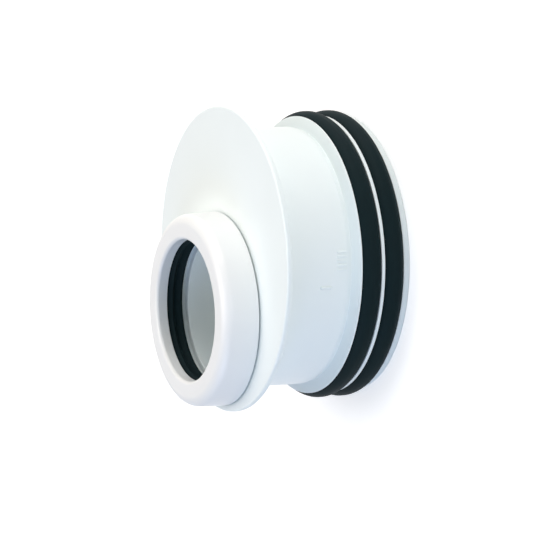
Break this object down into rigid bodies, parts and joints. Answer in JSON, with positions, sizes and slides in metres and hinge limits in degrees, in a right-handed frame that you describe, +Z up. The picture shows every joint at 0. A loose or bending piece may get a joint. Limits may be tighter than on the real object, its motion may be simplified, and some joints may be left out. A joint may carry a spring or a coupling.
{
  "type": "pipe reducer",
  "caption": "Eccentric push-fit pipe reducer: a flanged spigot with outer rubber seals for a drain pipe, and an offset capped socket with an inner seal for a waste pipe.",
  "frame": {"origin": "middle of the spigot's end face, on the main axis, at the level that the part stands on", "axes": "+Z up the main axis from the spigot's end towards the socket; the socket is offset towards -Y; +X completes the frame"},
  "size_m": [0.11, 0.11, 0.0642],
  "materials": {
    "white_plastic": "moulded, soft sheen",
    "cap_plastic": "moulded, soft sheen",
    "black_rubber": "moulded rubber"
  },
  "bodies": {
    "root": {"reducer_body": "white_plastic", "retaining_cap": "cap_plastic", "socket_seal": "black_rubber", "upper_spigot_seal": "black_rubber", "lower_spigot_seal": "black_rubber"}
  },
  "joints": []
}
